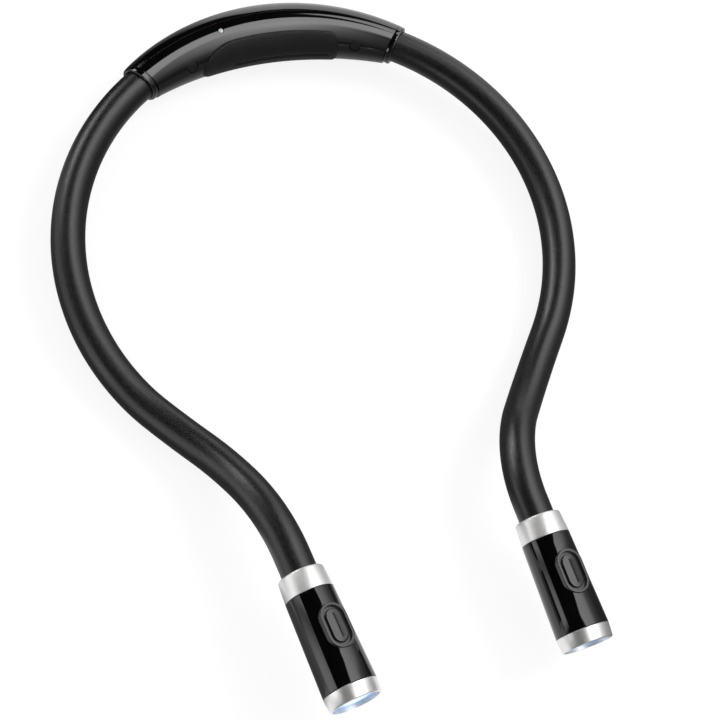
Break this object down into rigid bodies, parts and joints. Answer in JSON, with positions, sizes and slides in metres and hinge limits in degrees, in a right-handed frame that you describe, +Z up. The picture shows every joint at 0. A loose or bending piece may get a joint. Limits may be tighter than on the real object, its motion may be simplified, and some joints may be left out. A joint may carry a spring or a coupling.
{
  "type": "neck reading light",
  "caption": "Hands-free reading light worn round the neck: curved padded housing, flexible arms and lamp heads with push buttons",
  "frame": {"origin": "Middle of the bottom of the bounding box, on the table that the light lies on", "axes": "+Y from the lamp heads to the neck housing, +Z up from the table, +X to the right seen from above with the housing at the far side"},
  "size_m": [0.1884, 0.265, 0.0306],
  "materials": {
    "shell_gloss": "moulded, high gloss",
    "barrel_gloss": "moulded, high gloss",
    "pad_rubber": "matte, fine grain",
    "plug_rubber": "matte",
    "arm_rubber": "smooth satin skin",
    "control_black": "fine matte",
    "satin_silver": "satin anodised",
    "core_steel": "drawn wire",
    "screw_steel": "plated",
    "socket_steel": "plated",
    "board": "green solder mask",
    "cell_wrap": "shrink wrap",
    "clear_pipe": "clear",
    "reflector_white": "white, glossy",
    "lens": "clear, lit"
  },
  "bodies": {
    "housing": {"outer_shell": "shell_gloss", "inner_shell": "shell_gloss", "neck_pad": "pad_rubber", "left_screw": "screw_steel", "right_screw": "screw_steel", "left_screw_plug": "plug_rubber", "right_screw_plug": "plug_rubber", "light_pipe": "clear_pipe", "battery": "cell_wrap", "charge_board": "board", "charge_socket": "socket_steel", "left_end_ring": "shell_gloss", "right_end_ring": "shell_gloss", "left_sleeve_0": "arm_rubber", "left_core_0": "core_steel", "right_sleeve_0": "arm_rubber", "right_core_0": "core_steel"},
    "left_link_1": {"left_sleeve_1": "arm_rubber", "left_core_1": "core_steel"},
    "left_link_2": {"left_sleeve_2": "arm_rubber", "left_core_2": "core_steel"},
    "left_link_3": {"left_sleeve_3": "arm_rubber", "left_core_3": "core_steel"},
    "left_link_4": {"left_sleeve_4": "arm_rubber", "left_core_4": "core_steel"},
    "left_link_5": {"left_sleeve_5": "arm_rubber", "left_core_5": "core_steel"},
    "left_head": {"left_sleeve_6": "arm_rubber", "left_core_6": "core_steel", "left_collar": "satin_silver", "left_barrel": "barrel_gloss", "left_button_ring": "control_black", "left_switch": "socket_steel", "left_lamp_board": "board", "left_reflector": "reflector_white", "left_lens": "lens", "left_front_rim": "satin_silver"},
    "left_button_body": {"left_button": "control_black"},
    "right_link_1": {"right_sleeve_1": "arm_rubber", "right_core_1": "core_steel"},
    "right_link_2": {"right_sleeve_2": "arm_rubber", "right_core_2": "core_steel"},
    "right_link_3": {"right_sleeve_3": "arm_rubber", "right_core_3": "core_steel"},
    "right_link_4": {"right_sleeve_4": "arm_rubber", "right_core_4": "core_steel"},
    "right_link_5": {"right_sleeve_5": "arm_rubber", "right_core_5": "core_steel"},
    "right_head": {"right_sleeve_6": "arm_rubber", "right_core_6": "core_steel", "right_collar": "satin_silver", "right_barrel": "barrel_gloss", "right_button_ring": "control_black", "right_switch": "socket_steel", "right_lamp_board": "board", "right_reflector": "reflector_white", "right_lens": "lens", "right_front_rim": "satin_silver"},
    "right_button_body": {"right_button": "control_black"}
  },
  "joints": [
    {"name": "left_swing_1", "type": "hinge", "parent": "housing", "child": "left_link_1", "pos_m": [-0.06601, 0.09253, 0.01157], "axis": [0, -0.053, 0.9986], "range_deg": [-30, 12]},
    {"name": "left_tilt_1", "type": "hinge", "parent": "left_link_1", "child": "left_link_2", "pos_m": [-0.08297, 0.06416, 0.01006], "axis": [-0.939, 0.3433, 0.0182], "range_deg": [-30, 30]},
    {"name": "left_swing_2", "type": "hinge", "parent": "left_link_2", "child": "left_link_3", "pos_m": [-0.08836, 0.03157, 0.00833], "axis": [0, -0.053, 0.9986], "range_deg": [-30, 18]},
    {"name": "left_tilt_2", "type": "hinge", "parent": "left_link_3", "child": "left_link_4", "pos_m": [-0.08145, -0.00074, 0.00662], "axis": [-0.9219, -0.3868, -0.0205], "range_deg": [-30, 30]},
    {"name": "left_swing_3", "type": "hinge", "parent": "left_link_4", "child": "left_link_5", "pos_m": [-0.06388, -0.02881, 0.00706], "axis": [-0.1043, 0.0886, 0.9906], "range_deg": [-30, 30]},
    {"name": "left_tilt_3", "type": "hinge", "parent": "left_link_5", "child": "left_head", "pos_m": [-0.04745, -0.05626, 0.01555], "axis": [-0.9222, -0.3861, -0.0205], "range_deg": [-30, 30]},
    {"name": "left_button_press", "type": "slide", "parent": "left_head", "child": "left_button_body", "axis": [-0.3114, -0.0703, -0.9477], "range_m": [0, 0.00045], "stiffness_N_per_m": 800, "springref_m": -0.0005},
    {"name": "right_swing_1", "type": "hinge", "parent": "housing", "child": "right_link_1", "pos_m": [0.06601, 0.09253, 0.01157], "axis": [0, -0.053, 0.9986], "range_deg": [-12, 30]},
    {"name": "right_tilt_1", "type": "hinge", "parent": "right_link_1", "child": "right_link_2", "pos_m": [0.08297, 0.06416, 0.01006], "axis": [-0.939, -0.3433, -0.0182], "range_deg": [-30, 30]},
    {"name": "right_swing_2", "type": "hinge", "parent": "right_link_2", "child": "right_link_3", "pos_m": [0.08836, 0.03157, 0.00833], "axis": [0, -0.053, 0.9986], "range_deg": [-18, 30]},
    {"name": "right_tilt_2", "type": "hinge", "parent": "right_link_3", "child": "right_link_4", "pos_m": [0.08145, -0.00074, 0.00662], "axis": [-0.9219, 0.3868, 0.0205], "range_deg": [-30, 30]},
    {"name": "right_swing_3", "type": "hinge", "parent": "right_link_4", "child": "right_link_5", "pos_m": [0.06388, -0.02881, 0.00706], "axis": [0.1043, 0.0886, 0.9906], "range_deg": [-30, 30]},
    {"name": "right_tilt_3", "type": "hinge", "parent": "right_link_5", "child": "right_head", "pos_m": [0.04561, -0.05514, 0.01558], "axis": [-0.8946, 0.4462, 0.0237], "range_deg": [-30, 30]},
    {"name": "right_button_press", "type": "slide", "parent": "right_head", "child": "right_button_body", "axis": [-0.2066, 0.027, -0.9781], "range_m": [0, 0.00045], "stiffness_N_per_m": 800, "springref_m": -0.0005}
  ]
}
